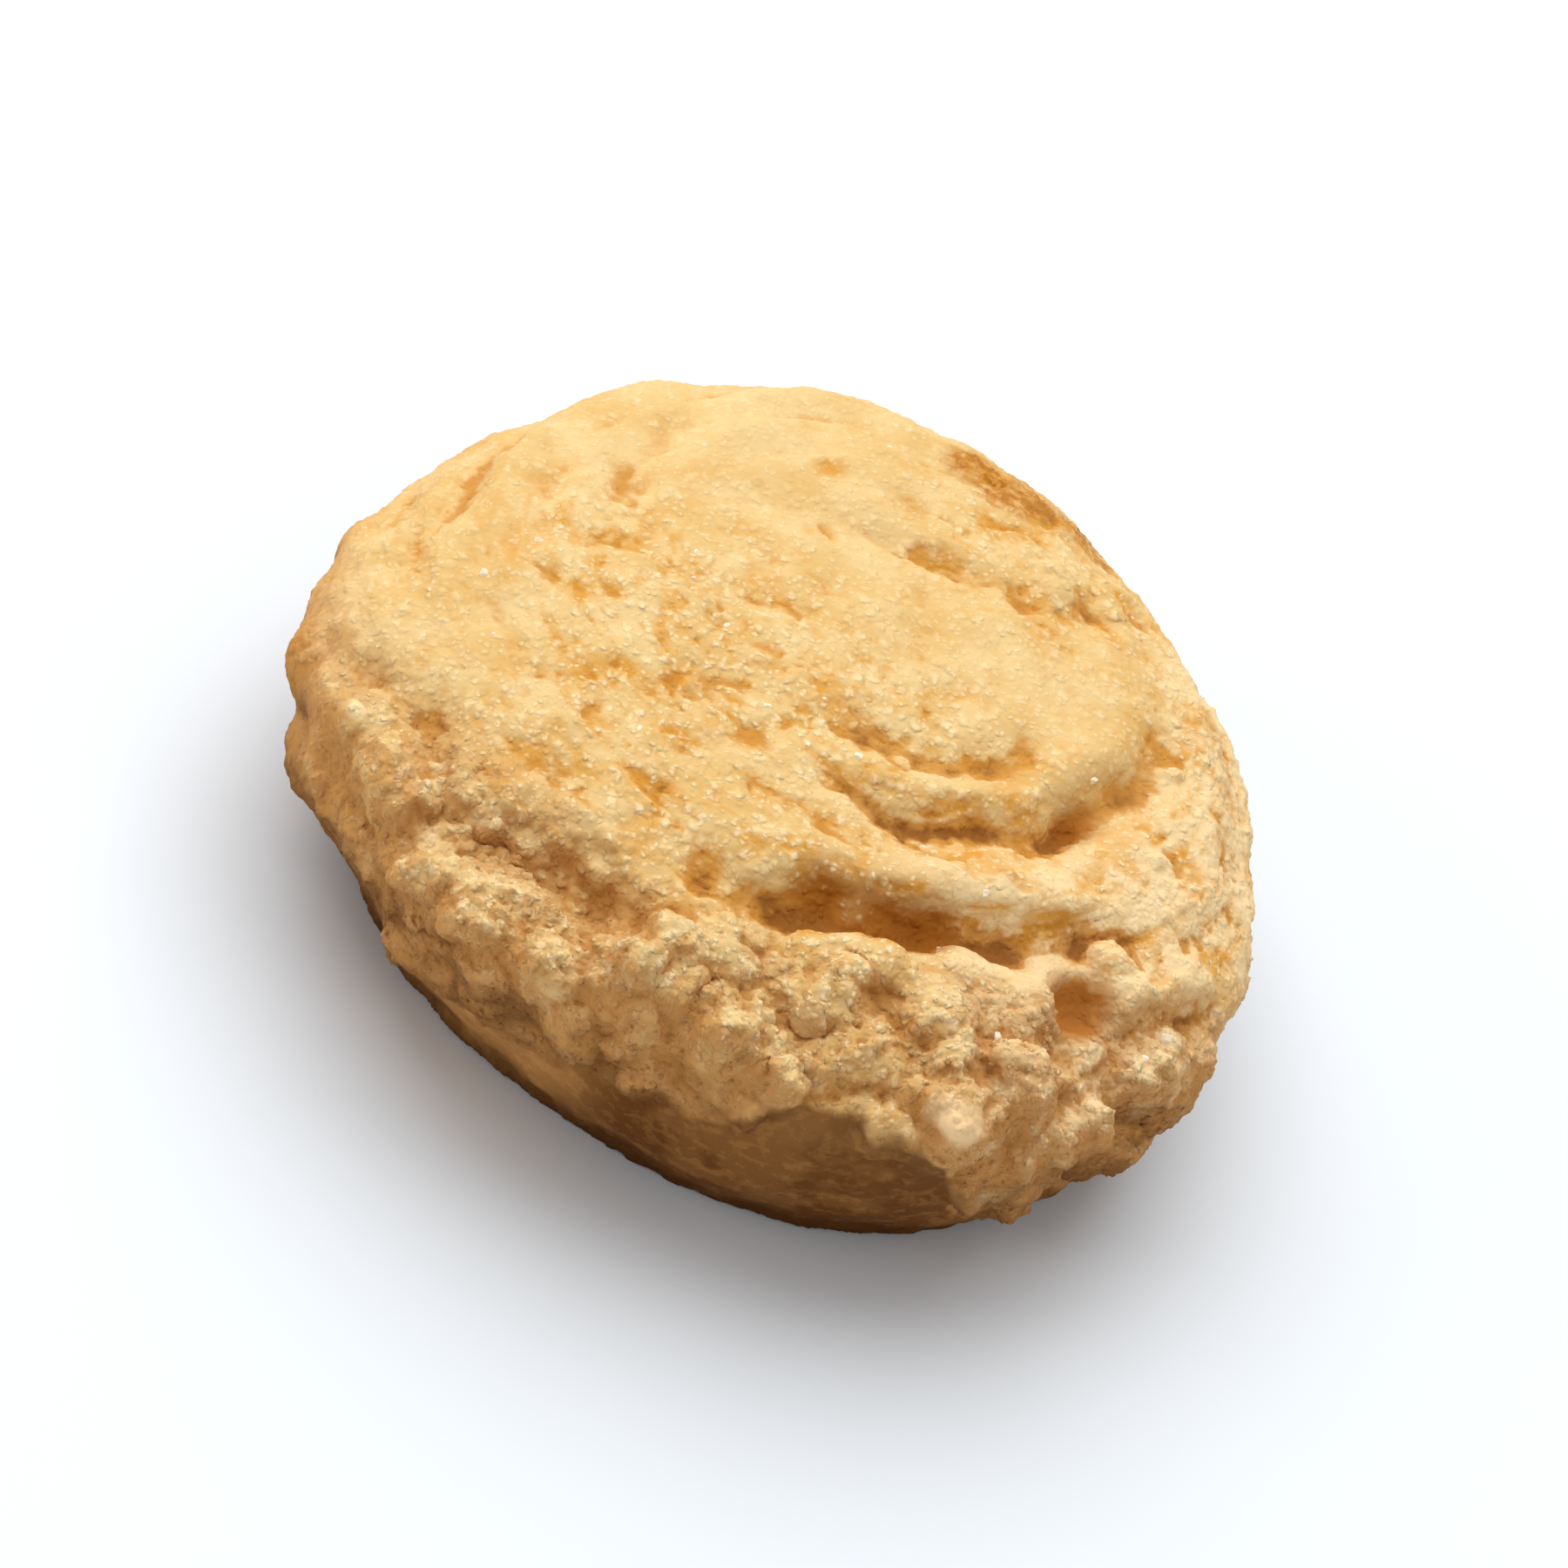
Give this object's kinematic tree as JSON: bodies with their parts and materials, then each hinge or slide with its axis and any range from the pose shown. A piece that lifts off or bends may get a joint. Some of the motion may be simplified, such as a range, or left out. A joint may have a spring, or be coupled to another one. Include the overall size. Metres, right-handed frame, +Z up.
{
  "type": "amaretti cookie",
  "caption": "Small round almond cookie, flat underneath and gently domed, with a terraced swirl on top and a craggy shoulder.",
  "frame": {"origin": "middle of the cookie's footprint, on the plane that its flat underside rests on", "axes": "+Z up through the thickness, -Y towards the side with the deep terraces and split lumps, +X to the right seen from there"},
  "size_m": [0.036, 0.036, 0.0124],
  "materials": {
    "baked_dough": "matte baked almond dough, pale gold on top, brown at the foot"
  },
  "bodies": {
    "root": {"cookie": "baked_dough"}
  },
  "joints": []
}
